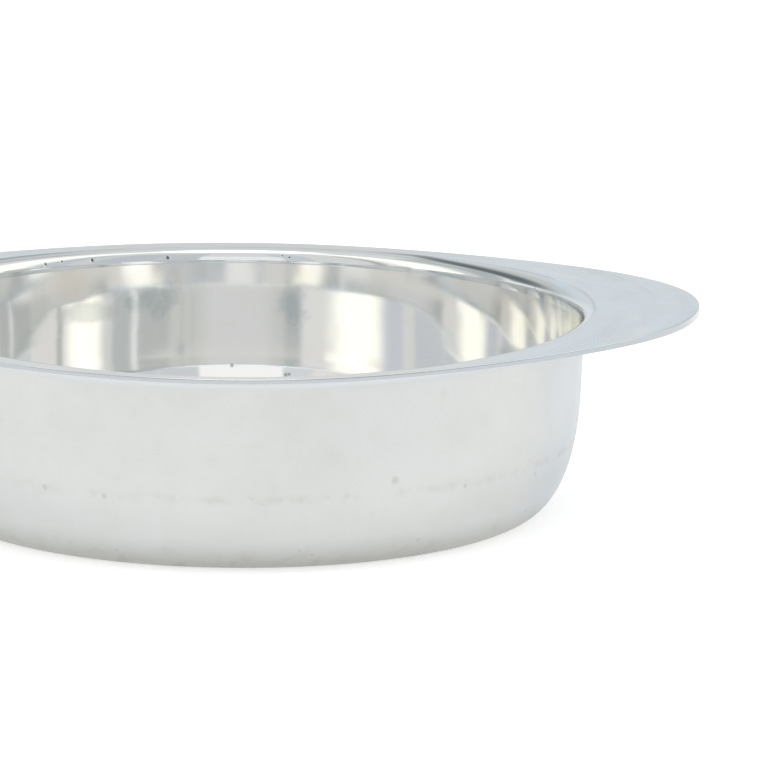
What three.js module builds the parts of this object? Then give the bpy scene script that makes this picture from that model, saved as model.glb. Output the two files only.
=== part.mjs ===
// Round silver-plated serving dish with a broad flange drawn out into two lug handles.
// Units are millimetres, +Z is up, X runs through the two handles.
// The dish stands on Z = 0 and its axis is the Z axis.

import * as THREE from 'three';

// Bowl
const bowl_radius = 120;           // outside of the wall, at the seam under the flange
const mouth_height = 69;           // top of the flange at the front and the back
const bowl_sheet = 1.1;            // thickness of the spun bowl
const wall_lean = 2;               // degrees that the wall leans in on its way down
const corner_reach = 17.5;         // width of the rounded lower corner
const corner_rise = 41.5;          // height of the rounded lower corner
const corner_power = 2.2;          // 2 is an elliptical corner, and more is a squarer one
const foot_land = 9;               // width of the flat ring that the dish stands on
const base_lift = 1.4;             // how far the middle of the base is pushed up
const base_lift_run = 7;           // width of the slope up to the lifted middle

// Flange
const flange_sheet = 1.1;          // thickness of the flange
const flange_land = 6.5;           // flat rim outside the throat, front and back
const handle_reach = 160;          // from the axis to the tip of a handle
const handle_taper = 5;            // a larger number makes the handles narrower
const handle_rise = 3;             // the tips stand this far above the front of the flange
const throat_radius = 5;           // rounding from the flange down into the bowl
const land_dip = 0.5;              // how far the land dips to the throat, front and back
const collar_depth = 0.8;          // straight collar below the rounding, down to the seam
const border_lip = 0.3;            // border turned down below the flange, front and back
const handle_border_lip = 1.8;     // the same along the handles
const border_round = 0.4;          // rounding of the top edge of the border
const border_root = 0.5;           // rounding inside the turned-down border
const rounding_share = 0.8;        // most of the border's depth that a rounding may take

// Steps round the dish and along the curves of the sections, and two limits of the maths
const turn_steps = 96;
const corner_steps = 9;
const lift_steps = 3;
const throat_steps = 6;
const border_steps = 3;
const land_steps = 3;
const sharpest_turn = 0.5;         // keeps the bowl's inside close to its outside at a sharp turn
const slant_step = 1e-4;           // radians, for measuring the slant of the flange's outline

// Sizes that follow from the ones above
const bore_radius = bowl_radius - bowl_sheet;
const seam_height = mouth_height - throat_radius - collar_depth;
const throat_start = bore_radius + throat_radius;
const flange_radius = throat_start + flange_land;
const collar_outside = bore_radius + flange_sheet;
const wall_slope = Math.tan(THREE.MathUtils.degToRad(wall_lean));
const foot_outside = bowl_radius - seam_height * wall_slope - corner_reach;
const foot_inside = foot_outside - foot_land;
const quarter_turn = Math.PI / 2;

const silver_bright = new THREE.MeshStandardMaterial({
  color: 0xd9d6ce, roughness: 0.12, metalness: 1,
});
const silver_satin = new THREE.MeshStandardMaterial({
  color: 0xccd3d9, roughness: 0.38, metalness: 1,
});

// Outside of the bowl from the seam down to the middle of the base, as radius and height.
// The wall keeps its lean all the way down, and the corner's curve is taken off it.
function bowlOutside() {
  const points = [new THREE.Vector2(bowl_radius, seam_height)];
  for (let i = 0; i <= corner_steps; i++) {
    const t = (i / corner_steps) * quarter_turn;
    const across = Math.pow(Math.max(0, Math.cos(t)), 2 / corner_power);
    const down = Math.pow(Math.sin(t), 2 / corner_power);
    const height = corner_rise * (1 - down);
    const wall = bowl_radius - (seam_height - height) * wall_slope;
    points.push(new THREE.Vector2(wall - corner_reach * (1 - across), height));
  }
  for (let i = 0; i <= lift_steps; i++) {
    const t = i / lift_steps;
    points.push(new THREE.Vector2(
      foot_inside - base_lift_run * t,
      base_lift * (1 - Math.cos(Math.PI * t)) / 2,
    ));
  }
  points.push(new THREE.Vector2(0, base_lift));
  return points;
}

// The same line moved inward by the sheet, square to itself at each point.
function bowlInside(outside) {
  const last = outside.length - 1;
  return outside.map((point, i) => {
    if (i === 0) return new THREE.Vector2(bore_radius, seam_height);
    if (i === last) return new THREE.Vector2(0, base_lift + bowl_sheet);
    const before = point.clone().sub(outside[i - 1]).normalize();
    const after = outside[i + 1].clone().sub(point).normalize();
    const along = before.clone().add(after).normalize();
    const stretch = 1 / Math.max(sharpest_turn, along.dot(after));
    return new THREE.Vector2(
      point.x + along.y * bowl_sheet * stretch,
      point.y - along.x * bowl_sheet * stretch,
    );
  });
}

function makeBowl() {
  const outside = bowlOutside();
  const inside = bowlInside(outside);
  const profile = [...outside.reverse(), ...inside];
  const geometry = new THREE.LatheGeometry(profile, turn_steps);
  geometry.rotateX(Math.PI / 2);
  const mesh = new THREE.Mesh(geometry, silver_bright);
  mesh.name = 'bowl';
  return mesh;
}

// How far a direction belongs to a handle: 0 at the front and back, 1 at the tips.
function handleShare(angle) {
  return Math.pow(Math.abs(Math.cos(angle)), handle_taper);
}

function flangeReach(angle) {
  return flange_radius + (handle_reach - flange_radius) * handleShare(angle);
}

// A radial cut crosses the outline at a slant, so sizes measured square to the outline
// grow by this factor along the cut.
function outlineSlant(angle) {
  const reach = flangeReach(angle);
  const before = flangeReach(angle - slant_step);
  const after = flangeReach(angle + slant_step);
  const change = (after - before) / (2 * slant_step);
  return Math.hypot(reach, change) / reach;
}

// Height of the flange's top: level at the front and back, rising to both tips.
function flangeTop(x) {
  return mouth_height + handle_rise * (x / handle_reach) ** 2;
}

// Points of an arc from one angle to another about a centre, as [radius, depth].
function arcPoints(centre_r, centre_z, reach_r, reach_z, from, to, steps) {
  const points = [];
  for (let i = 0; i <= steps; i++) {
    const t = from + (to - from) * (i / steps);
    points.push([centre_r + reach_r * Math.cos(t), centre_z + reach_z * Math.sin(t)]);
  }
  return points;
}

// How far the inner edge of the land lies below its outer edge.
function landDip(angle) {
  return land_dip * Math.sin(angle) ** 2;
}

// One radial section of the flange as a closed loop of [radius, depth below the top].
// It runs up the throat, out over the land, round the border and back underneath.
function flangeSection(angle) {
  const reach = flangeReach(angle);
  const slant = outlineSlant(angle);
  const share = handleShare(angle);
  const lip_depth = border_lip + (handle_border_lip - border_lip) * share;
  const drop = flange_sheet + lip_depth;
  const round = Math.min(border_round, rounding_share * drop);
  const root = Math.min(border_root, rounding_share * lip_depth);
  const lip = reach - flange_sheet * slant;
  const dip = landDip(angle);
  const throat_depth = throat_radius - dip;
  const under_throat = throat_radius - flange_sheet;
  const land_end = reach - round * slant;

  const top = arcPoints(throat_start, -throat_radius, throat_radius, throat_depth,
    2 * quarter_turn, quarter_turn, throat_steps);
  for (let i = 1; i < land_steps; i++) {
    const out = i / land_steps;
    top.push([throat_start + (land_end - throat_start) * out, -dip * (1 - out)]);
  }
  const edge = arcPoints(land_end, -round, round * slant, round, quarter_turn, 0, border_steps);
  const under_start = lip - root * slant;
  const under_edge = [
    [reach, -drop],
    [lip, -drop],
    [lip, -flange_sheet - root],
    [under_start, -flange_sheet],
  ];
  const under = [];
  for (let i = 1; i < land_steps; i++) {
    const inward = i / land_steps;
    under.push([under_start + (throat_start - under_start) * inward, -flange_sheet - dip * inward]);
  }
  const throat_under = arcPoints(throat_start, -throat_radius, under_throat, under_throat - dip,
    quarter_turn, 2 * quarter_turn, throat_steps);
  return [...top, ...edge, ...under_edge, ...under, ...throat_under];
}

function makeFlange() {
  const positions = [];
  let ring_size = 0;
  for (let i = 0; i < turn_steps; i++) {
    const angle = (i / turn_steps) * 2 * Math.PI;
    const cos = Math.cos(angle);
    const sin = Math.sin(angle);
    const section = flangeSection(angle);
    for (const [radius, depth] of section) {
      const x = radius * cos;
      positions.push(x, radius * sin, flangeTop(x) + depth);
    }
    positions.push(bore_radius * cos, bore_radius * sin, seam_height);
    positions.push(collar_outside * cos, collar_outside * sin, seam_height);
    ring_size = section.length + 2;
  }
  // The loop's order: the section, then the outer and the inner edge of the seam.
  const order = [];
  for (let j = 0; j < ring_size - 2; j++) order.push(j);
  order.push(ring_size - 1, ring_size - 2);
  const index = [];
  for (let i = 0; i < turn_steps; i++) {
    const here = i * ring_size;
    const next = ((i + 1) % turn_steps) * ring_size;
    for (let j = 0; j < ring_size; j++) {
      const a = order[j];
      const b = order[(j + 1) % ring_size];
      index.push(here + a, here + b, next + b);
      index.push(here + a, next + b, next + a);
    }
  }
  const geometry = new THREE.BufferGeometry();
  geometry.setAttribute('position', new THREE.Float32BufferAttribute(positions, 3));
  geometry.setIndex(index);
  geometry.computeVertexNormals();
  const mesh = new THREE.Mesh(geometry, silver_satin);
  mesh.name = 'handle_flange';
  return mesh;
}

const dish = new THREE.Group();
dish.name = 'vegetable_dish';
dish.add(makeBowl());
dish.add(makeFlange());

export default dish;
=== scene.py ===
import math

import bpy
import numpy as np
from mathutils import Matrix, Vector


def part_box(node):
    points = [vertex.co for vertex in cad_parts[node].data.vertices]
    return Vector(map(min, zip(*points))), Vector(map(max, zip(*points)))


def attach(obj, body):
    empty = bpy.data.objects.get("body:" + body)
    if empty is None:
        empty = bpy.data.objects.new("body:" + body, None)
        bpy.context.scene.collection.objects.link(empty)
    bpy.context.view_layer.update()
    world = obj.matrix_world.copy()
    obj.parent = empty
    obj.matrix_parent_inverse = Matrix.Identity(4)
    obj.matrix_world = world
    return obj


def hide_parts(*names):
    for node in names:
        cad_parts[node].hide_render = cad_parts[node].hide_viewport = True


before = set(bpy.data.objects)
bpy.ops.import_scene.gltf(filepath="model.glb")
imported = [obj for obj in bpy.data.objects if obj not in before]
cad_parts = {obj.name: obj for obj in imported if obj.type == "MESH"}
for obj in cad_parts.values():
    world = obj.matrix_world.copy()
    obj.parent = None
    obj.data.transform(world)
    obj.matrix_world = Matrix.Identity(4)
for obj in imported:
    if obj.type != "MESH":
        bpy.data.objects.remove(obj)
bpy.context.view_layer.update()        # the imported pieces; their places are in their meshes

# The bowl
# One disc of nickel silver, spun over a chuck: walls that lean in a little on their way
# down, a rounded lower corner, a flat ring to stand on and a base pushed up inside it so
# that it can't rock. It is plated all over, bright inside and rubbed to a satin outside.
mm = 0.001
bowl_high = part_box("bowl")[1]
bowl_radius = bowl_high.x
seam_height = bowl_high.z
bowl_sheet = 1.1 * mm
wall_lean = 2            # degrees that the wall leans in on its way down
wall_slope = math.tan(math.radians(wall_lean))
corner_reach = 17.5 * mm
corner_rise = 41.5 * mm
corner_power = 2.2       # 2 is an elliptical corner, and more is a squarer one
foot_land = 9 * mm
base_lift = 1.4 * mm
base_lift_run = 7 * mm
bore_radius = bowl_radius - bowl_sheet
foot_outside = bowl_radius - seam_height * wall_slope - corner_reach
foot_inside = foot_outside - foot_land

# How finely the dish is cut: directions round it, and rings of points down the bowl's wall,
# its corner, the ring that it stands on, the slope inside that and the lifted base
turns = 384
angles = np.arange(turns) * 2 * math.pi / turns
wall_rings = 18
corner_rings = 45
land_rings = 6
slope_rings = 11
base_rings = 14
sharp_edge = math.radians(32)

# Dents that a century of use leaves: where round the bowl, in degrees from the handle at +X
# towards the back, and how high, how wide and how deep, in millimetres
dents = [
    (103, 50, 5, 0.010),
    (82, 46, 6, 0.010),
    (237, 27, 6, 0.02),
    (296, 33, 5, 0.045),
    (306, 31, 6, 0.02),
    (262, 38, 12, 0.02),
    (270, 12, 6, 0.03),
    (205, 30, 9, 0.02),
    (12, 22, 8, 0.02),
    (72.5, 38.5, 5, 0.03),
    (121, 50, 6, 0.03),
]
# How the wall is out of round at the seam: depth in millimetres, lobes and their start
lobes = ((0.04, 2, 0.6), (0.02, 3, 2.0))
# Rings that spinning leaves: depth, radians for each millimetre of height, and their twist
spinning_rings = ((0.002, 0.55, 0), (0.001, 1.3, 4))
true_run = 6 * mm        # over this much above and below, the wall comes back to its true line


def out_of_round(angle, height):
    """How far hand work has moved the wall outward at a point, in metres."""
    degrees = np.degrees(angle)
    level = height / mm
    shift = sum(depth * np.cos(number * angle + start) for depth, number, start in lobes)
    shift = shift * height / seam_height
    shift = shift + sum(depth * np.sin(level * rate + twist * angle)
                        for depth, rate, twist in spinning_rings)
    for middle, rise, width, depth in dents:
        along = np.radians((degrees - middle + 180) % 360 - 180) * bowl_radius / mm
        above = level - rise
        shift = shift - depth * np.exp(-(along**2 + above**2) / (2 * (width / 2) ** 2))
    keep = np.clip(height / true_run, 0, 1) * np.clip((seam_height - height) / true_run, 0, 1)
    return shift * keep * mm


# Hammering has made the inside lean in a little more: all round just above the corner, and
# lower down at the two ends, under the handles. Each has the height of its middle and its
# reach, in millimetres, and the lean that it adds, in degrees.
hammered_round = (39.7, 6.3, 1.75)
hammered_ends = (27.4, 13.5, 0.82)
level_count = 500
levels = np.linspace(0, seam_height, level_count)


def drawn_in(height, middle, reach, lean):
    """How far a wall that leans more round one height has come in, in metres."""
    extra = math.radians(lean) * np.exp(-(((levels / mm - middle) / reach) ** 2))
    moved = np.cumsum(extra[::-1])[::-1] * (levels[1] - levels[0])
    return np.interp(height, levels, moved)


def inside_shift(angle, height):
    """How far hand work has moved a point of the inside outward, in metres."""
    at_ends = drawn_in(height, *hammered_ends) * np.cos(angle) ** 2
    come_in = drawn_in(height, *hammered_round) + at_ends
    above_floor = np.clip((height - bowl_sheet) / true_run, 0, 1)
    return out_of_round(angle, height) - come_in * above_floor


def bowl_line():
    """Outside of the bowl from the seam down to the axis, as radius and height."""
    wall_z = np.linspace(seam_height, corner_rise, wall_rings)
    t = np.linspace(0, math.pi / 2, corner_rings + 1)[1:]
    out_share = np.clip(np.cos(t), 0, 1) ** (2 / corner_power)
    corner_z = corner_rise * (1 - np.sin(t) ** (2 / corner_power))
    z = np.concatenate([wall_z, corner_z])
    r = bowl_radius - (seam_height - z) * wall_slope
    r[wall_rings:] -= corner_reach * (1 - out_share)
    land_r = np.linspace(foot_outside, foot_inside, land_rings + 1)[1:]
    slope_t = np.linspace(0, 1, slope_rings + 1)[1:]
    base_r = np.linspace(foot_inside - base_lift_run, 0, base_rings + 2)[1:-1]
    r = np.concatenate([r, land_r, foot_inside - base_lift_run * slope_t, base_r])
    z = np.concatenate([z, 0 * land_r, base_lift * (1 - np.cos(math.pi * slope_t)) / 2,
                        base_lift + 0 * base_r])
    return np.stack([r, z], 1)


def moved_in(line, by):
    """A line moved inward square to itself, with its first point kept at its height."""
    run = np.gradient(line, axis=0)
    run /= np.linalg.norm(run, axis=1)[:, None]
    moved = line + by * np.stack([run[:, 1], -run[:, 0]], 1)
    moved[0] = (line[0, 0] - by, line[0, 1])
    return moved


def turned(line, wobble):
    """A line turned round the axis, as an array of rings of points."""
    r = line[:, 0][:, None] + np.zeros(turns)
    z = line[:, 1][:, None] + np.zeros(turns)
    r = r + wobble(angles[None, :], z)
    return np.stack([r * np.cos(angles), r * np.sin(angles), z], 2)


def ring_faces(ring_count, closed=False):
    """Quads that join each ring of points to the next one, and the last to the first if closed."""
    here = np.arange(turns)
    after = (here + 1) % turns
    faces = []
    for ring in range(ring_count if closed else ring_count - 1):
        this = ring * turns
        following = (ring + 1) % ring_count * turns
        quads = [this + after, following + after, following + here, this + here]
        faces += np.stack(quads, 1).tolist()
    return faces


def make_piece(name, points, faces):
    """A smooth mesh in the scene, with its sharp edges kept."""
    mesh = bpy.data.meshes.new(name)
    mesh.from_pydata(points, [], faces)
    mesh.shade_smooth()
    mesh.set_sharp_from_angle(angle=sharp_edge)
    piece = bpy.data.objects.new(name, mesh)
    bpy.context.scene.collection.objects.link(piece)
    return piece


outside_line = bowl_line()
inside_line = moved_in(outside_line, bowl_sheet)
bowl_rings = np.concatenate([turned(inside_line[::-1], inside_shift), turned(outside_line, out_of_round)])
ring_count = len(bowl_rings)
bowl_points = [*bowl_rings.reshape(-1, 3).tolist(), [0, 0, base_lift + bowl_sheet], [0, 0, base_lift]]
inside_pole, outside_pole = len(bowl_points) - 2, len(bowl_points) - 1
bowl_faces = ring_faces(ring_count)
last_ring = (ring_count - 1) * turns
for i in range(turns):
    j = (i + 1) % turns
    bowl_faces.append([inside_pole, i, j])
    bowl_faces.append([outside_pole, last_ring + j, last_ring + i])
bowl = make_piece("spun_bowl", bowl_points, bowl_faces)
inside_face_count = (len(inside_line) - 1) * turns
for number, face in enumerate(bowl.data.polygons):
    is_inside = number < inside_face_count or inside_pole in face.vertices
    face.material_index = 0 if is_inside else 1


# The steps that every finish is put together from, as shader nodes
def add(tree, kind, sockets=None, **settings):
    """Adds a shader node, with its settings and with its sockets linked or filled in."""
    node = tree.nodes.new("ShaderNode" + kind)
    for name, value in settings.items():
        setattr(node, name, value)
    for socket, value in (sockets or {}).items():
        if isinstance(value, bpy.types.NodeSocket):
            tree.links.new(value, node.inputs[socket])
        else:
            node.inputs[socket].default_value = value
    return node


def maths(tree, operation, *values):
    """The result of one sum on plain numbers and sockets."""
    return add(tree, "Math", dict(enumerate(values)), operation=operation).outputs[0]


def fade(tree, value, start, end):
    """0 up to the start, 1 from the end, and a smooth run between them."""
    return add(tree, "MapRange", {"Value": value, "From Min": start, "From Max": end},
               interpolation_type="SMOOTHSTEP").outputs[0]


def laid_over(tree, share, below, above):
    """One colour over another, as far as the share says."""
    below, above = [(*colour, 1) if isinstance(colour, tuple) else colour for colour in (below, above)]
    return add(tree, "Mix", {0: share, 6: below, 7: above}, data_type="RGBA").outputs[2]


def layered(tree, colour, layers):
    """Colours laid over a first one in turn: each has a mask, its strength and a colour."""
    for mask, strength, layer in layers:
        colour = laid_over(tree, maths(tree, "MULTIPLY", mask, strength), colour, layer)
    return colour


def roughened(tree, rough, changes):
    """A roughness with others added to it: each has a mask and how much it adds."""
    for mask, amount in changes:
        rough = maths(tree, "MULTIPLY_ADD", mask, amount, rough)
    return rough


def relief(tree, heights):
    """Bumps laid on each other: each has a height from 0 to 1 and a depth in millimetres."""
    normal = None
    for height, depth in heights:
        sockets = {"Height": height, "Distance": depth * mm}
        if normal is not None:
            sockets["Normal"] = normal
        normal = add(tree, "Bump", sockets).outputs[0]
    return normal


def place_in_mm(tree):
    """Where a point of the surface lies on the dish, in millimetres."""
    place = add(tree, "TexCoord").outputs["Object"]
    return add(tree, "VectorMath", {0: place, "Scale": 1 / mm}, operation="SCALE").outputs[0]


def level_line(tree):
    """The level line from the axis to a point of the surface, in millimetres."""
    place = add(tree, "SeparateXYZ", {0: place_in_mm(tree)}).outputs
    return add(tree, "CombineXYZ", {"X": place["X"], "Y": place["Y"]}).outputs[0]


def length_of(tree, line):
    """How long a line is."""
    return add(tree, "VectorMath", {0: line}, operation="LENGTH").outputs["Value"]


def direction_of(tree, line):
    """A line of the same direction that is 1 long."""
    return add(tree, "VectorMath", {0: line}, operation="NORMALIZE").outputs[0]


def new_finish(name):
    """A metal material with nothing on it yet: returns it, its tree and its shader."""
    made = bpy.data.materials.new(name)
    made.use_nodes = True
    shader = made.node_tree.nodes["Principled BSDF"]
    shader.inputs["Metallic"].default_value = 1
    return made, made.node_tree, shader


def new_effect(name, inputs, outputs):
    """Starts a node group whose inputs and outputs are all plain values."""
    tree = bpy.data.node_groups.new(name, "ShaderNodeTree")
    for label in inputs:
        tree.interface.new_socket(label, in_out="INPUT", socket_type="NodeSocketFloat")
    for label in outputs:
        tree.interface.new_socket(label, in_out="OUTPUT", socket_type="NodeSocketFloat")
    return tree, tree.nodes.new("NodeGroupInput").outputs, tree.nodes.new("NodeGroupOutput").inputs


def use_effect(tree, effect, **values):
    """Places an effect in a material with its own values, and returns its outputs."""
    node = tree.nodes.new("ShaderNodeGroup")
    node.node_tree = effect
    for name, value in values.items():
        node.inputs[name.replace("_", " ")].default_value = value
    return node.outputs


# Where a point lies: its height, how far it is from the axis and how far along the line
# through the two handles, all in millimetres
where_on_dish, _, ends = new_effect("where_on_dish", [], ["Height", "From Axis", "Along Handles"])
place = add(where_on_dish, "SeparateXYZ", {0: place_in_mm(where_on_dish)}).outputs
where_on_dish.links.new(place["Z"], ends["Height"])
where_on_dish.links.new(length_of(where_on_dish, level_line(where_on_dish)), ends["From Axis"])
where_on_dish.links.new(place["X"], ends["Along Handles"])

# Hairline scratches from washing up and polishing, in three directions
scratch_edge = 0.08      # how far past its start a scratch is at its full strength
scratch_tilts = ((0.3, 0.2, 0.5), (1.2, 0.7, 2.1), (0.5, 1.9, 3.6))
hairlines, given, ends = new_effect("hairlines", ["Length", "Width", "Start"], ["Mask"])
place = place_in_mm(hairlines)
thin = maths(hairlines, "DIVIDE", 1.0, given["Width"])
long = maths(hairlines, "DIVIDE", 1.0, given["Length"])
stretch = add(hairlines, "CombineXYZ", {"X": thin, "Y": long, "Z": long}).outputs[0]
full = maths(hairlines, "ADD", given["Start"], scratch_edge)
lines = 0.0
for tilt in scratch_tilts:
    tilted = add(hairlines, "VectorRotate", {"Vector": place, "Rotation": tilt},
                 rotation_type="EULER_XYZ").outputs[0]
    stretched = add(hairlines, "VectorMath", {0: tilted, 1: stretch}, operation="MULTIPLY").outputs[0]
    noise = add(hairlines, "TexNoise", {"Vector": stretched, "Scale": 1.0, "Detail": 1.0}).outputs[0]
    lines = maths(hairlines, "MAXIMUM", fade(hairlines, noise, given["Start"], full), lines)
hairlines.links.new(lines, ends["Mask"])

# Fine rings that spinning and polishing leave, running round the axis
spun_rings, given, ends = new_effect("spun_rings", ["Spacing", "Break Up"], ["Height"])
out_line = level_line(spun_rings)
out_steps = maths(spun_rings, "DIVIDE", length_of(spun_rings, out_line), given["Spacing"])
place = add(spun_rings, "SeparateXYZ", {0: place_in_mm(spun_rings)}).outputs
up_steps = maths(spun_rings, "DIVIDE", place["Z"], given["Spacing"])
upward = add(spun_rings, "CombineXYZ", {"Z": up_steps}).outputs[0]
around = add(spun_rings, "VectorMath", {0: direction_of(spun_rings, out_line), "Scale": given["Break Up"]},
             operation="SCALE").outputs[0]
ring_place = add(spun_rings, "VectorMath", {0: around, 1: upward}).outputs[0]
noise = add(spun_rings, "TexNoise", {"Vector": ring_place, "W": out_steps, "Scale": 1.0, "Detail": 2.0},
            noise_dimensions="4D").outputs[0]
spun_rings.links.new(noise, ends["Height"])

# Small round pits where the plate has given way
pits, given, ends = new_effect("pits", ["Spacing", "Size", "Share"], ["Mask"])
cell_scale = maths(pits, "DIVIDE", 1.0, given["Spacing"])
cells = add(pits, "TexVoronoi", {"Vector": place_in_mm(pits), "Scale": cell_scale}).outputs
edge = maths(pits, "DIVIDE", given["Size"], given["Spacing"])
inner = maths(pits, "MULTIPLY", edge, 0.5)
in_pit = fade(pits, cells["Distance"], edge, inner)
chance = add(pits, "SeparateColor", {0: cells["Color"]}).outputs[0]
chosen = maths(pits, "LESS_THAN", chance, given["Share"])
pits.links.new(maths(pits, "MULTIPLY", in_pit, chosen), ends["Mask"])

# Clouds of tarnish, haze or stain
clouds, given, ends = new_effect("clouds", ["Size", "Start", "End"], ["Mask"])
cloud_scale = maths(clouds, "DIVIDE", 1.0, given["Size"])
noise = add(clouds, "TexNoise", {"Vector": place_in_mm(clouds), "Scale": cloud_scale,
                                 "Detail": 4.0, "Roughness": 0.6}).outputs[0]
clouds.links.new(fade(clouds, noise, given["Start"], given["End"]), ends["Mask"])


def marks_at(tree, places, soft, ragged=0.0, flatness=1.0):
    """A mask of marks: each has an angle, a height and a size, and sits on a radius.
    Their edges are as soft as a share of the size, and wander by so many millimetres.
    A flatness above 1 makes them wider than they are high."""
    mask = 0.0
    flattened = (1, 1, flatness)
    place = add(tree, "VectorMath", {0: place_in_mm(tree), 1: flattened}, operation="MULTIPLY").outputs[0]
    wander = 0.0
    if ragged:
        noise = use_effect(tree, clouds, Size=5.0, Start=0.25, End=0.75)["Mask"]
        wander = maths(tree, "MULTIPLY_ADD", noise, ragged, -ragged / 2)
    for angle, height, size, radius in places:
        turn = math.radians(angle)
        spot = (radius * math.cos(turn), radius * math.sin(turn), height * flatness)
        away = add(tree, "VectorMath", {0: place, 1: spot}, operation="DISTANCE").outputs["Value"]
        away = maths(tree, "ADD", away, wander)
        mask = maths(tree, "MAXIMUM", fade(tree, away, size * (1 + soft), size * (1 - soft)), mask)
    return mask


def on_wall(line, shift, marks):
    """Gives each mark, an angle, a height and a size, the radius that the wall has there."""
    wall = line[:wall_rings + corner_rings]
    rising = wall[np.argsort(wall[:, 1])]
    placed = []
    for angle, height, size in marks:
        radius = np.interp(height * mm, rising[:, 1], rising[:, 0])
        radius += shift(math.radians(angle), height * mm)
        placed.append((angle, height, size, float(radius) / mm))
    return placed


# The bright inside: mirror plate with hairlines, fine rings, hazy patches and wipe marks, two
# patches of painted shade high by the handle at +X, patches of painted warm reflection, a
# duller floor and a little yellow tarnish. Heights are in millimetres, and a mark has an angle,
# a height and a size.
bright_plate = (0.93, 0.93, 0.925)
bright_roughness = 0.05
floor_heights = (16.0, 4.0)
rim_heights = (53.0, 60.0)
# The last two of these places, high by the handle at +X, are painted shade; the rest are wipe marks
wiped_and_shade_places = ((106.4, 50.6, 4.6), (104.6, 47.6, 3.8), (109.3, 48.3, 3.0),
                (102.6, 51.6, 3.4), (80.4, 48.4, 4.4), (79.6, 44.6, 3.6),
                (300.0, 44.0, 5.0), (13.5, 60.5, 4.0), (8.0, 60.0, 4.0))
hazy_places = ((118.0, 46.6, 11.0), (32.0, 40.0, 9.0))
# Places of painted warm reflection, in a brownish tint
warm_reflection_places = ((121.5, 56.4, 7.0), (101.3, 58.5, 3.5), (35.5, 56.0, 6.0), (28.0, 52.0, 5.0))
low_places = ((91.2, 25.0, 0.6), (81.2, 22.0, 0.6), (80.6, 22.2, 0.5))
bright_inside, tree, shader = new_finish("bright_silver_inside")
where = use_effect(tree, where_on_dish)
scratches = use_effect(tree, hairlines, Length=16.0, Width=0.3, Start=0.71)["Mask"]
rings_inside = use_effect(tree, spun_rings, Spacing=1.4, Break_Up=5.0)["Height"]
soft_waves = use_effect(tree, clouds, Size=34.0, Start=0.0, End=1.0)["Mask"]
yellowing = use_effect(tree, clouds, Size=26.0, Start=0.46, End=0.72)["Mask"]
dull_clouds = use_effect(tree, clouds, Size=12.0, Start=0.4, End=0.75)["Mask"]
spots = use_effect(tree, pits, Spacing=9.0, Size=0.45, Share=0.12)["Mask"]
dull = maths(tree, "MULTIPLY", dull_clouds, fade(tree, where["Height"], *floor_heights))
near_rim = fade(tree, where["Height"], *rim_heights)
# wipe marks, and two patches of painted shade by the handle at +X
wiped_and_painted_shade = marks_at(tree, on_wall(inside_line, inside_shift, wiped_and_shade_places), soft=0.8, ragged=4.0)
hazy = marks_at(tree, on_wall(inside_line, inside_shift, hazy_places), soft=0.35, ragged=3.0, flatness=2.8)
# painted reflection: warm brownish patches high on the wall
painted_warm_reflection = marks_at(tree, on_wall(inside_line, inside_shift, warm_reflection_places), soft=0.8, ragged=4.0)
low_spots = marks_at(tree, on_wall(inside_line, inside_shift, low_places), soft=0.9)
colour = layered(tree, bright_plate, (
    (yellowing, 0.4, (0.925, 0.917, 0.893)),
    (dull, 0.5, (0.72, 0.72, 0.70)),
    (painted_warm_reflection, 0.5, (0.84, 0.79, 0.69)),
    (hazy, 1.0, (0.77, 0.78, 0.78)),
    (wiped_and_painted_shade, 0.8, (0.72, 0.765, 0.775)),
    (spots, 1.0, (0.16, 0.15, 0.13)),
    (low_spots, 0.9, (0.33, 0.36, 0.38)),
))
rough = roughened(tree, bright_roughness, (
    (dull, 0.10), (scratches, 0.10), (hazy, 0.07), (near_rim, 0.04), (spots, 0.4)))
normal = relief(tree, ((soft_waves, 0.007), (rings_inside, 0.0005), (scratches, -0.0005)))
tree.links.new(colour, shader.inputs["Base Color"])
tree.links.new(rough, shader.inputs["Roughness"])
tree.links.new(normal, shader.inputs["Normal"])
bowl.data.materials.append(bright_inside)

# The satin outside: rubbed plate with a scuffed line where the corner starts, painted shade
# that darkens it towards the table, painted bluish reflection at the ends, specks and small knocks
rubbed_plate = (0.628, 0.64, 0.636)
rubbed_roughness = 0.38
scuff_height = 26.5
scuff_reach = 2.4
low_shade_heights = (13.0, 0.5)
end_shares = (0.78, 0.96)          # from the front or back, 0, to the end under a handle, 1
knock_places = ((237.5, 26.4, 0.9), (248.3, 25.8, 0.9), (295.8, 31.1, 1.3), (309.8, 25.6, 0.7),
                (328.8, 23.3, 0.6), (330.0, 9.4, 0.7), (302.3, 8.2, 0.7), (280.5, 7.8, 0.6),
                (282.8, 5.9, 0.6), (269.0, 2.1, 0.7))
satin_outside, tree, shader = new_finish("satin_silver_outside")
where = use_effect(tree, where_on_dish)
rubbing = use_effect(tree, spun_rings, Spacing=0.5, Break_Up=26.0)["Height"]
scratches = use_effect(tree, hairlines, Length=9.0, Width=0.35, Start=0.7)["Mask"]
big_clouds = use_effect(tree, clouds, Size=38.0, Start=0.35, End=0.7)["Mask"]
small_clouds = use_effect(tree, clouds, Size=7.0, Start=0.5, End=0.75)["Mask"]
scuff_clouds = use_effect(tree, clouds, Size=8.0, Start=0.4, End=0.72)["Mask"]
dimples = use_effect(tree, clouds, Size=5.0, Start=0.3, End=0.8)["Mask"]
spots = use_effect(tree, pits, Spacing=8.0, Size=0.5, Share=0.05)["Mask"]
off_scuffs = maths(tree, "ABSOLUTE", maths(tree, "SUBTRACT", where["Height"], scuff_height))
scuffs = maths(tree, "MULTIPLY", fade(tree, off_scuffs, scuff_reach, 0.0), scuff_clouds)
knocks = marks_at(tree, on_wall(outside_line, out_of_round, knock_places), soft=0.5)
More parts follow.
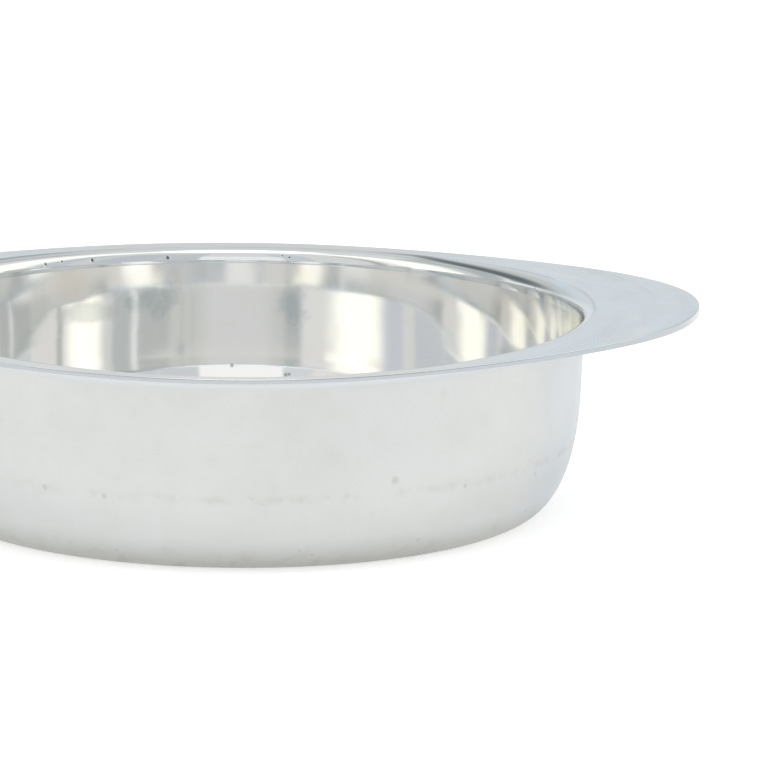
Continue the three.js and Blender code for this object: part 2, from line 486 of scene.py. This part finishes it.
patchy = maths(tree, "MULTIPLY_ADD", small_clouds, 0.3, 0.7)
# painted shade: darker towards the bottom, in patches, for the shadowed table that the low wall mirrors
painted_low_shade = maths(tree, "MULTIPLY", fade(tree, where["Height"], *low_shade_heights), patchy)
off_middle = maths(tree, "ABSOLUTE", where["Along Handles"])
# painted reflection: the ends of the wall, under the handles, are painted bluish
at_ends = fade(tree, maths(tree, "DIVIDE", off_middle, where["From Axis"]), *end_shares)
colour = layered(tree, rubbed_plate, (
    (big_clouds, 0.5, (0.61, 0.617, 0.602)),
    (at_ends, 1.0, (0.575, 0.602, 0.633)),
    (painted_low_shade, 1.0, (0.41, 0.41, 0.385)),
    (small_clouds, 0.12, (0.53, 0.51, 0.46)),
    (scuffs, 0.34, (0.50, 0.48, 0.44)),
    (knocks, 0.35, (0.38, 0.37, 0.35)),
    (spots, 1.0, (0.43, 0.41, 0.37)),
))
rough = roughened(tree, rubbed_roughness, (
    (big_clouds, 0.07), (rubbing, 0.06), (scratches, -0.08), (scuffs, 0.1)))
normal = relief(tree, ((dimples, 0.012), (rubbing, 0.004), (scratches, -0.003),
                       (knocks, -0.08), (spots, -0.03)))
tree.links.new(colour, shader.inputs["Base Color"])
tree.links.new(rough, shader.inputs["Roughness"])
tree.links.new(normal, shader.inputs["Normal"])
bowl.data.materials.append(satin_outside)
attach(bowl, "root")
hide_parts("bowl")

# The flange with its two handles
# One piece of plated sheet, soldered to the top of the wall: a short collar, a rounded
# throat, a narrow flat land at the front and back, two broad lugs drawn out of it as
# handles, and a border turned down all round.
flange_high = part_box("handle_flange")[1]
handle_reach = flange_high.x
handle_rise = 3 * mm     # the tips stand this far above the front of the flange
mouth_height = flange_high.z - handle_rise
flange_sheet = 1.1 * mm
flange_land = 6.5 * mm
handle_taper = 5         # a larger number makes the handles narrower
throat_radius = 5 * mm
land_dip = 0.5 * mm      # how far the land dips to the throat, front and back
border_lip = 0.3 * mm
handle_border_lip = 1.8 * mm
border_round = 0.4 * mm
border_root = 0.5 * mm
border_end_round = 0.25 * mm
rounding_share = 0.8     # most of the border's depth that a rounding may take
end_round_share = 0.4    # the same for the two rounds of its lower edge
throat_start = bore_radius + throat_radius
flange_radius = throat_start + flange_land
throat_steps = 26
throat_under_steps = 14
land_steps = 12
border_steps = 8
lip_end_steps = 4
root_steps = 5
slant_step = 1e-4        # radians, for measuring the slant of the flange's outline


def handle_share(angle):
    """How far a direction belongs to a handle: 0 at the front and back, 1 at the tips."""
    return np.abs(np.cos(angle)) ** handle_taper


def flange_reach(angle):
    """How far the flange reaches from the axis in a direction."""
    return flange_radius + (handle_reach - flange_radius) * handle_share(angle)


def arc(centre_r, centre_z, reach_r, reach_z, start, end, steps):
    """Points of an arc as [radius, depth], each an array with one value for every angle."""
    one = np.ones(turns)
    return [(centre_r * one + reach_r * one * math.cos(t), centre_z * one + reach_z * one * math.sin(t))
            for t in np.linspace(start, end, steps)]


def flat_run(start, end, start_z, end_z):
    """Points between two ends, as [radius, depth] like an arc's, without the ends."""
    shares = np.linspace(0, 1, land_steps + 2)[1:-1]
    return [(start + (end - start) * share, start_z + (end_z - start_z) * share) for share in shares]


def flange_section():
    """The closed section of the flange for all angles, from the seam up the throat and round."""
    reach = flange_reach(angles)
    change = (flange_reach(angles + slant_step) - flange_reach(angles - slant_step)) / (2 * slant_step)
    slant = np.hypot(reach, change) / reach
    lip = border_lip + (handle_border_lip - border_lip) * handle_share(angles)
    drop = flange_sheet + lip
    rounding = np.minimum(border_round, rounding_share * drop)
    root = np.minimum(border_root, rounding_share * lip)
    end = np.minimum(border_end_round, end_round_share * lip)
    land_end = reach - rounding * slant
    lip_in = reach - flange_sheet * slant
    root_in = lip_in - root * slant
    quarter = math.pi / 2
    one = np.ones(turns)
    dip = land_dip * np.sin(angles) ** 2
    throat_depth = throat_radius - dip
    collar_foot = (seam_height - mouth_height) * one
    return np.array([
        (bore_radius * one, collar_foot),
        *arc(throat_start, -throat_radius, throat_radius, throat_depth,
             2 * quarter, quarter, throat_steps),
        *flat_run(throat_start, land_end, -dip, 0),
        *arc(land_end, -rounding, rounding * slant, rounding, quarter, 0, border_steps),
        *arc(reach - end * slant, -drop + end, end * slant, end, 0, -quarter, lip_end_steps),
        *arc(lip_in + end * slant, -drop + end, end * slant, end, -quarter, -2 * quarter, lip_end_steps),
        *arc(root_in, -flange_sheet - root, root * slant, root, 0, quarter, root_steps),
        *flat_run(root_in, throat_start, -flange_sheet, -flange_sheet - dip),
        *arc(throat_start, -throat_radius, throat_radius - flange_sheet, throat_depth - flange_sheet,
             quarter, 2 * quarter, throat_under_steps),
        ((bore_radius + flange_sheet) * one, collar_foot),
    ])


section = flange_section()
flange_x = section[:, 0] * np.cos(angles)
flange_y = section[:, 0] * np.sin(angles)
flange_z = mouth_height + handle_rise * (flange_x / handle_reach) ** 2 + section[:, 1]
flange_z[0] = seam_height
flange_z[-1] = seam_height
flange_points = np.stack([flange_x, flange_y, flange_z], 2).reshape(-1, 3).tolist()
flange = make_piece("handled_flange", flange_points, ring_faces(len(section), closed=True))

# The finish of the flange: a blue-grey satin with rubbing streaks along the handles, painted
# bluish reflection over the handles, a painted shade line and solder pits in the throat, and a
# border painted darker as shade. Distances are millimetres from the axis, and shares run from 0
# at the front and back to 1 at the tip of the handle at +X.
flange_plate = (0.80, 0.828, 0.838)
flange_roughness = 0.14
throat_roughness = 0.05            # inside the throat
outside_roughness = 0.38           # outside it, under the flange
wall_distances = (126.0, 125.0)
throat_distances = (124.6, 123.6)
land_distances = (122.6, 124.6)
handle_distances = (124.5, 130.0)
border_distances = (126.0, 127.0)
crease_distance = 123.4            # where the throat runs out into the land
crease_reach = (0.9, 0.2)
cool_distances = (121.5, 124.5)
cool_shares = (0.3, 0.8)
cool_tip_shares = (0.88, 0.97)
cool_tip_widening = 4.0
shade_line_depth = 0.35               # below the flange's top, where the painted shade line starts
shade_line_sinks_from = 0.52
shade_line_sink = 6.8                 # how much deeper it gets from there towards the tip
shade_line_width = 0.35
shade_line_widening = 0.75
widening_shares = (0.45, 0.9)
shade_line_edge = (1.25, 0.2)
shade_line_starts = (0.3, 0.62)
shade_line_ends = (0.985, 0.85)
left_shade_line_starts = (-0.3, -0.65)
left_shade_line = 0.6
pit_places = (                     # angle, height, size and radius
    (126.5, 66.1, 0.5, 119.4), (123.0, 66.4, 0.4, 119.5), (117.0, 66.0, 0.6, 119.3),
    (102.8, 65.5, 0.6, 119.1), (82.3, 66.2, 0.3, 119.4), (81.0, 65.6, 0.35, 119.2),
    (148.0, 66.0, 0.4, 119.3), (212.0, 66.0, 0.4, 119.3), (333.0, 66.3, 0.3, 119.5),
    (27.0, 66.0, 0.35, 119.3))
satin_flange, tree, shader = new_finish("satin_silver_flange")
where = use_effect(tree, where_on_dish)
rubbing = use_effect(tree, spun_rings, Spacing=1.6, Break_Up=3.5)["Height"]
fine_rubbing = use_effect(tree, spun_rings, Spacing=0.35, Break_Up=14.0)["Height"]
streaks = use_effect(tree, spun_rings, Spacing=8.0, Break_Up=4.0)["Height"]
scratches = use_effect(tree, hairlines, Length=14.0, Width=0.3, Start=0.7)["Mask"]
soft_waves = use_effect(tree, clouds, Size=18.0, Start=0.2, End=0.8)["Mask"]
bloom = use_effect(tree, clouds, Size=24.0, Start=0.4, End=0.7)["Mask"]
crease_clouds = use_effect(tree, clouds, Size=30.0, Start=0.35, End=0.65)["Mask"]
seam_pits = marks_at(tree, pit_places, soft=0.75)

# The border is what faces sideways at the edge of the flange, and is painted darker as shade.
# What faces outward close to the wall is the outside of the throat, which is rougher than the rest.
facing = add(tree, "NewGeometry").outputs["Normal"]
facing_up = add(tree, "SeparateXYZ", {0: facing}).outputs["Z"]
outward = direction_of(tree, level_line(tree))
facing_out = add(tree, "VectorMath", {0: outward, 1: facing}, operation="DOT_PRODUCT").outputs["Value"]
past_land = fade(tree, where["From Axis"], *border_distances)
# painted shade: the border's sideways faces are painted darker
painted_border_shade = maths(tree, "MULTIPLY", fade(tree, facing_up, 0.7, 0.3), past_land)
near_wall = fade(tree, where["From Axis"], *wall_distances)
throat_outside = maths(tree, "MULTIPLY", fade(tree, facing_out, 0.0, 0.2), near_wall)
# A band of darker clouds along the crease where the throat runs out into the land
off_crease = maths(tree, "ABSOLUTE", maths(tree, "SUBTRACT", where["From Axis"], crease_distance))
crease_darkening = maths(tree, "MULTIPLY", fade(tree, off_crease, *crease_reach), crease_clouds)
on_land = fade(tree, where["From Axis"], *land_distances)

# The painted shade line in the throat: a dark band painted in for the throat's shade. It starts
# just under the flange's top, and gets deeper and wider towards the handle
towards_handle = maths(tree, "DIVIDE", where["Along Handles"], where["From Axis"])
along_handle = maths(tree, "DIVIDE", where["Along Handles"], handle_reach / mm)
rise_share = maths(tree, "MULTIPLY", along_handle, along_handle)
top_there = maths(tree, "MULTIPLY_ADD", rise_share, handle_rise / mm, mouth_height / mm)
below_top = maths(tree, "SUBTRACT", top_there, where["Height"])
sunk = maths(tree, "MAXIMUM", maths(tree, "SUBTRACT", towards_handle, shade_line_sinks_from), 0.0)
line_depth = maths(tree, "MULTIPLY_ADD", sunk, shade_line_sink, shade_line_depth)
widened = fade(tree, towards_handle, *widening_shares)
line_width = maths(tree, "MULTIPLY_ADD", widened, shade_line_widening, shade_line_width)
off_line = maths(tree, "ABSOLUTE", maths(tree, "SUBTRACT", below_top, line_depth))
on_line = fade(tree, maths(tree, "DIVIDE", off_line, line_width), *shade_line_edge)
started = fade(tree, towards_handle, *shade_line_starts)
not_ended = fade(tree, towards_handle, *shade_line_ends)
on_left = maths(tree, "MULTIPLY", fade(tree, towards_handle, *left_shade_line_starts), left_shade_line)
line_share = maths(tree, "MAXIMUM", maths(tree, "MULTIPLY", started, not_ended), on_left)
in_throat = fade(tree, where["From Axis"], *throat_distances)
# painted shade: the dark line in the throat
painted_throat_shade = maths(tree, "MULTIPLY", maths(tree, "MULTIPLY", on_line, line_share), in_throat)

# The handles are painted bluer than the front and back, right into the throat, as a painted reflection,
# and streaked
side_share = maths(tree, "ABSOLUTE", towards_handle)
at_tips = fade(tree, side_share, *cool_tip_shares)
cool_from = maths(tree, "MULTIPLY_ADD", at_tips, cool_tip_widening, where["From Axis"])
cool_round = fade(tree, side_share, *cool_shares)
# painted reflection: a bluish tint laid over the handles and into the throat at their tips
painted_blue_reflection = maths(tree, "MULTIPLY", cool_round, fade(tree, cool_from, *cool_distances))
on_handle = fade(tree, where["From Axis"], *handle_distances)
light_streak = maths(tree, "MULTIPLY", fade(tree, streaks, 0.5, 0.72), on_handle)
dark_streak = maths(tree, "MULTIPLY", fade(tree, streaks, 0.5, 0.3), on_handle)
colour = layered(tree, flange_plate, (
    (rubbing, 1.0, (0.83, 0.852, 0.86)),
    (painted_blue_reflection, 1.0, (0.79, 0.90, 1.0)),
    (light_streak, 0.7, (0.90, 0.96, 1.0)),
    (dark_streak, 0.7, (0.70, 0.80, 0.91)),
    (bloom, 0.4, (0.80, 0.84, 0.85)),
    (painted_border_shade, 1.0, (0.46, 0.485, 0.52)),
    (throat_outside, 1.0, (0.61, 0.625, 0.635)),
    (crease_darkening, 0.3, (0.25, 0.27, 0.29)),
    (painted_throat_shade, 1.0, (0.24, 0.27, 0.30)),
    (seam_pits, 1.0, (0.09, 0.10, 0.09)),
))
rough = roughened(tree, flange_roughness, ((bloom, 0.06), (rubbing, 0.08), (scratches, 0.1)))
over_throat = maths(tree, "SUBTRACT", rough, throat_roughness)
rough = maths(tree, "MULTIPLY_ADD", on_land, over_throat, throat_roughness)
outside_rough = maths(tree, "MULTIPLY", throat_outside, outside_roughness)
rough = maths(tree, "MAXIMUM", rough, outside_rough)
normal = relief(tree, ((soft_waves, 0.015), (rubbing, 0.004), (fine_rubbing, 0.0006),
                       (scratches, -0.0012), (seam_pits, -0.25)))
tree.links.new(colour, shader.inputs["Base Color"])
tree.links.new(rough, shader.inputs["Roughness"])
tree.links.new(normal, shader.inputs["Normal"])
flange.data.materials.append(satin_flange)
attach(flange, "root")
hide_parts("handle_flange")

# The table
# A plain white sheet that the dish stands on. It glows a little, as if lit from below, so
# that it stays pale all over.
table_half = 4.0
table_corners = [(-table_half, -table_half, 0), (table_half, -table_half, 0),
                 (table_half, table_half, 0), (-table_half, table_half, 0)]
table_mesh = bpy.data.meshes.new("table")
table_mesh.from_pydata(table_corners, [], [(0, 1, 2, 3)])
table = bpy.data.objects.new("table", table_mesh)
bpy.context.scene.collection.objects.link(table)
white_sheet = bpy.data.materials.new("white_sheet")
white_sheet.use_nodes = True
sheet_shader = white_sheet.node_tree.nodes["Principled BSDF"]
sheet_shader.inputs["Base Color"].default_value = (0.9, 0.9, 0.9, 1)
sheet_shader.inputs["Roughness"].default_value = 0.9
sheet_shader.inputs["Emission Color"].default_value = (1, 1, 1, 1)
sheet_shader.inputs["Emission Strength"].default_value = 0.5
table_mesh.materials.append(white_sheet)

# The room
# Soft panels stand round the dish in a pale grey room, under a white ceiling. Directions
# are in degrees: round from the back of the dish, positive towards the right, and up.
room_grey = (0.80, 0.80, 0.79)
warm_white = (1.3, 1.29, 1.15)
low_white = (1.34, 1.32, 1.26)
low_grey = (0.62, 0.61, 0.58)
ceiling_white = (2.4, 2.4, 2.4)
ceiling_heights = (78, 100)
ceiling_blurs = (1, 10)
all_round = 180.1
panel_bottom = -12
panels = (               # left, right, top, colour, and blur of the sides and of the ends
    (-52, 32, 60, (0.62, 0.635, 0.615), 6, 6),
    (-24, 22, 60, (0.70, 0.71, 0.71), 14, 6),
    (-71, -48, 60, (0.52, 0.54, 0.53), 5, 6),
    (31, 43, 60, (0.50, 0.525, 0.525), 6, 6),
    (-40.5, -38.5, 60, (0.58, 0.585, 0.565), 2, 6),
    (-33, -31, 60, (0.585, 0.595, 0.58), 2, 6),
    (-90, -75, 60, (0.52, 0.545, 0.545), 6, 6),
    (-74.5, -71, 60, (0.83, 0.85, 0.85), 2, 6),
    (-98, -90, 60, (0.69, 0.71, 0.69), 6, 6),
    (-132, -127, 60, (0.50, 0.52, 0.51), 3, 6),
    (-152, -132, 60, (0.79, 0.78, 0.76), 4, 6),
    (101, 119.5, 60, (0.62, 0.65, 0.70), 8, 6),
    (119.5, 127, 60, (0.72, 0.74, 0.72), 3, 6),
    (127, 151, 60, (0.60, 0.63, 0.665), 4, 6),
    (151, 166, 60, (0.62, 0.64, 0.665), 3, 6),
    (-167, -153, 60, (0.66, 0.69, 0.72), 3, 6),
    (-60, 60, 9, (0.78, 0.77, 0.74), 10, 4),
    (67, 100, 88, warm_white, 17, 6),
    (-122, -98.5, 88, warm_white, 12, 6),
    (60, 90, 9.5, low_white, 5, 3),
    (91, 104, 9.5, low_grey, 4, 3),
    (-117, -96, 9.5, low_white, 5, 3),
    (-125, -118, 9.5, low_grey, 3, 3),
    (-76, -46, 9, (0.92, 0.93, 0.92), 8, 2),
    (166, 196, 34, (0.96, 0.965, 0.96), 1.5, 4),
)
room = bpy.data.worlds.new("room")
bpy.context.scene.world = room
room.use_nodes = True
tree = room.node_tree
tree.nodes.clear()
sight = add(tree, "SeparateXYZ", {0: add(tree, "TexCoord").outputs["Generated"]}).outputs
round_room = maths(tree, "DEGREES", maths(tree, "ARCTAN2", sight["X"], sight["Y"]))
up_room = maths(tree, "DEGREES", maths(tree, "ARCSINE", sight["Z"]))


def panel(behind, left, right, bottom, top, colour, side_blur, end_blur):
    """Lays a soft-edged panel over what is behind it, and returns the new colour."""
    middle, half = (left + right) / 2, (right - left) / 2
    turn = maths(tree, "WRAP", maths(tree, "SUBTRACT", round_room, middle), 180.0, -180.0)
    within = fade(tree, maths(tree, "ABSOLUTE", turn), half + side_blur / 2, half - side_blur / 2)
    above = fade(tree, up_room, bottom - end_blur / 2, bottom + end_blur / 2)
    below = fade(tree, up_room, top + end_blur / 2, top - end_blur / 2)
    share = maths(tree, "MULTIPLY", within, maths(tree, "MULTIPLY", above, below))
    return laid_over(tree, share, behind, colour)


light = add(tree, "RGB").outputs[0]
light.default_value = (*room_grey, 1)
for left, right, top, colour, side_blur, end_blur in panels:
    light = panel(light, left, right, panel_bottom, top, colour, side_blur, end_blur)
light = panel(light, -all_round, all_round, *ceiling_heights, ceiling_white, *ceiling_blurs)
glow = add(tree, "Background", {"Color": light})
tree.links.new(glow.outputs[0], add(tree, "OutputWorld").inputs["Surface"])

# The camera
# It stands in front of the dish, a little above the rim, and is tipped by a small roll.
# It is aimed by a point of the axis, which falls left of the middle of its picture.
distance = 1700 * mm
elevation = 0.20207      # radians above the level of the table
roll = 0.01309           # radians
focal_pixels = 4868.8
image_width, image_height = 780, 781
aim = Vector((0, 0, 36 * mm))
aim_column, aim_row = 238.46, 400.05
sensor_width = 36
back = Vector((0, -math.cos(elevation), math.sin(elevation)))
eye = aim + distance * back
upright = Vector((0, 0, 1))
side = (-back).cross(upright).normalized()
rise = side.cross(-back)
forward = (-back + (image_width / 2 - aim_column) / focal_pixels * side
           + (aim_row - image_height / 2) / focal_pixels * rise).normalized()
side = forward.cross(upright).normalized()
rise = side.cross(forward)
right_of_frame = math.cos(roll) * side + math.sin(roll) * rise
top_of_frame = -math.sin(roll) * side + math.cos(roll) * rise
camera_data = bpy.data.cameras.new("camera")
camera_data.sensor_width = sensor_width
camera_data.lens = sensor_width * focal_pixels / image_width
camera = bpy.data.objects.new("camera", camera_data)
camera.matrix_world = Matrix((right_of_frame, top_of_frame, -forward)).transposed().to_4x4()
camera.location = eye
bpy.context.scene.collection.objects.link(camera)
bpy.context.scene.camera = camera
bpy.context.scene.view_settings.view_transform = "Standard"
mirror_bounces = 32      # so that the bright inside can mirror itself over and over
bpy.context.scene.cycles.max_bounces = mirror_bounces
bpy.context.scene.cycles.glossy_bounces = mirror_bounces
